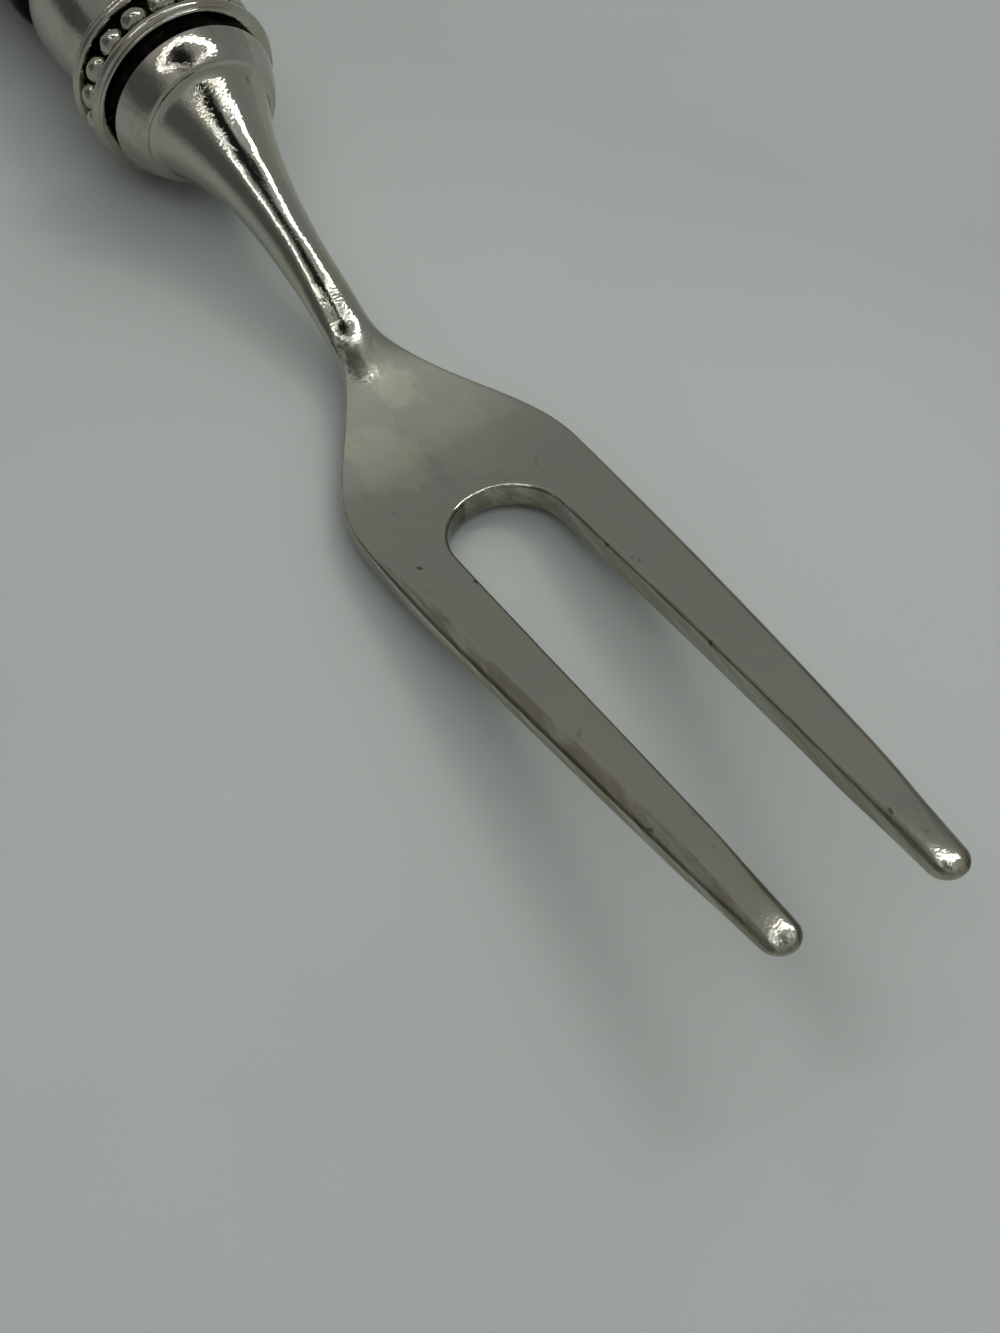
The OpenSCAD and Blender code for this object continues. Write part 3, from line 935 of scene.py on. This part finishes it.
view = Matrix((RIGHT, -DOWN, -FORWARD)).transposed()
camera = bpy.data.objects.new("camera", bpy.data.cameras.new("camera"))
bpy.context.scene.collection.objects.link(camera)
camera.matrix_world = Matrix.Translation(place(*EYE)) @ view.to_4x4()
camera.data.sensor_width = SENSOR_W
camera.data.lens = SENSOR_W * FOCAL_PX / PHOTO_H_PX
camera.data.clip_start = CLIP_START
bpy.context.scene.camera = camera

# Floor

FLOOR_SIZE = 1.6
FLOOR_CLEAR = 0.02 * MM
FLOOR_STEPS = 8
# Level directions away from the camera and to its right, and the way in which the floor darkens
FAR = Vector((FORWARD.x, FORWARD.y, 0)).normalized()
SIDE = Vector((RIGHT.x, RIGHT.y, 0)).normalized()
FADE_SIDE = 0.5
FADE_TO = FAR + FADE_SIDE * SIDE
FADE_NEAR = FADE_TO.x * SEAT_X
FADE_LEN = 22 * MM
FADE_TONE = 0.88

floor_mesh = bpy.data.meshes.new("floor")
bm = bmesh.new()
bmesh.ops.create_grid(bm, x_segments=FLOOR_STEPS, y_segments=FLOOR_STEPS, size=FLOOR_SIZE / 2)
bm.to_mesh(floor_mesh)
bm.free()
floor = bpy.data.objects.new("floor", floor_mesh)
floor.location.z = cad_box[0].z - FLOOR_CLEAR
bpy.context.scene.collection.objects.link(floor)
floor_mesh.materials.append(paper())

# Lamps: a ring of strips overhead, which the metal mirrors, and soft panels, which it doesn't

LAMP_H = 0.32
RING_AT = (0.04 * LAMP_H, 0.1 * LAMP_H)
RING_FAR_X = 0.23 * LAMP_H
RING_NEAR_X = 0.25 * LAMP_H
RING_Y = 0.72 * LAMP_H
RING_PARTS = 20
RING_POINT = 0.9
RING_BLUNT = 0.3
STRIP_W = 0.025 * LAMP_H
STRIP_RADIANCE = 18
# Changes of the strips' width: right side and its middle, left side, far end, and least share at the point
RIGHT_GAIN = 0.75
RIGHT_PEAK = 0.8
RIGHT_PEAK_POWER = 6
RIGHT_POINT_POWER = 3
RIGHT_POINT = 0.12
LEFT_LOSS = 0.45
LEFT_POINT_POWER = 1.5
LEFT_POINT = 0.05
FAR_LOSS = 0.4
FAR_RIGHT_GAIN = 1.2
# Soft panels: place from the collar and side length, both in lamp heights, and radiance
SOFT = {
    "key": (-0.33, 0.77, 0.5, 2.65),
    "side": (-0.4, 1.9, 1.4, 0.8),
    "far": (-1.5, 0.9, 2.2, 0.5),
    "near": (0.5, -0.1, 0.5, 1.5),
    "fill": (1.1, 0.3, 2, 0.44),
}


def panel(name, middle, run, width, radiance, mirrored):
    """Lamp panel along a run at the ring's height, turned to the collar."""
    x = run.normalized()
    z = middle - Vector((SEAT_X, 0, 0))
    z = (z - x * z.dot(x)).normalized()
    lamp = bpy.data.lights.new(name, "AREA")
    lamp.shape = "RECTANGLE"
    lamp.size = run.length
    lamp.size_y = width
    lamp.energy = radiance * math.pi * lamp.size * lamp.size_y
    piece = bpy.data.objects.new(name, lamp)
    piece.matrix_world = Matrix.Translation(middle) @ Matrix((x, z.cross(x), z)).transposed().to_4x4()
    piece.visible_camera = False
    piece.visible_glossy = mirrored
    bpy.context.scene.collection.objects.link(piece)


def overhead(x, y):
    return Vector((SEAT_X + x, y, LAMP_H))


def near_far(turn):
    """How far a turn of the ring lies towards its near and its far end."""
    return max(0.0, math.cos(turn)), max(0.0, -math.cos(turn))


def ring_at(turn):
    """Point of the ring: an oval across the fork, drawn out to a point on the camera's side."""
    near, far = near_far(turn)
    x = RING_AT[0] + RING_NEAR_X * near - RING_FAR_X * far
    return overhead(x, RING_AT[1] + RING_Y * math.sin(turn) * (1 - RING_POINT * near - RING_BLUNT * far))


def strip_w(turn):
    """Width of the ring's strip: wide on the right, and thin on the left and at the point."""
    near, far = near_far(turn)
    right = math.sin(turn)
    if right > 0:
        share = 1 + RIGHT_GAIN * right + RIGHT_PEAK * right ** RIGHT_PEAK_POWER
        share *= max(RIGHT_POINT, (1 - near) ** RIGHT_POINT_POWER)
        share *= 1 - FAR_LOSS * far + FAR_RIGHT_GAIN * far * right
    else:
        share = 1 + LEFT_LOSS * right
        share *= max(LEFT_POINT, (1 - near) ** LEFT_POINT_POWER)
        share *= 1 - FAR_LOSS * far
    return STRIP_W * share


turns = [2 * math.pi * k / RING_PARTS for k in range(RING_PARTS + 1)]
for k, (start, end) in enumerate(zip(turns, turns[1:])):
    a, b = ring_at(start), ring_at(end)
    panel(f"ring_{k}", (a + b) / 2, b - a, strip_w((start + end) / 2), STRIP_RADIANCE, mirrored=True)
for name, (x, y, size, radiance) in SOFT.items():
    length = size * LAMP_H
    panel(name, overhead(x * LAMP_H, y * LAMP_H), Vector((length, 0, 0)), length, radiance, mirrored=False)

# Room: pale walls and ceiling with a dark middle and dark patches, which the metal mirrors

BACKDROP = (0.34, 0.362, 0.345)

world = bpy.data.worlds.new("studio")
bpy.context.scene.world = world
world.use_nodes = True
tree = world.node_tree
where = add(tree, "ShaderNodeTexCoord").outputs["Generated"]


def towards(direction, *stops):
    """Grey that depends on the angle to a direction."""
    return grey_ramp(tree, vector_value(tree, "DOT_PRODUCT", where, Vector(direction).normalized()), *stops)


room = towards((0, 0, 1), (0.0, 0.31), (0.5, 0.26), (0.75, 0.3), (0.92, 0.5))
core = towards((0.09, -0.03, 1), (0.95, 1), (0.98, 0.25), (0.99, 0.03))
left = towards((0, -0.88, 0.47), (0.85, 1), (0.96, 0.4))
behind = towards((-0.61, -0.76, 0.2), (0.97, 1), (0.985, 0.3))
for shade in (core, left, behind):
    room = mixed(tree, 1.0, room, shade, "MULTIPLY")
seen = add(tree, "ShaderNodeLightPath").outputs["Is Camera Ray"]
backdrop = mixed(tree, seen, room, (*BACKDROP, 1))
tree.links.new(backdrop, tree.nodes["Background"].inputs["Color"])

bpy.context.scene.view_settings.view_transform = "Standard"
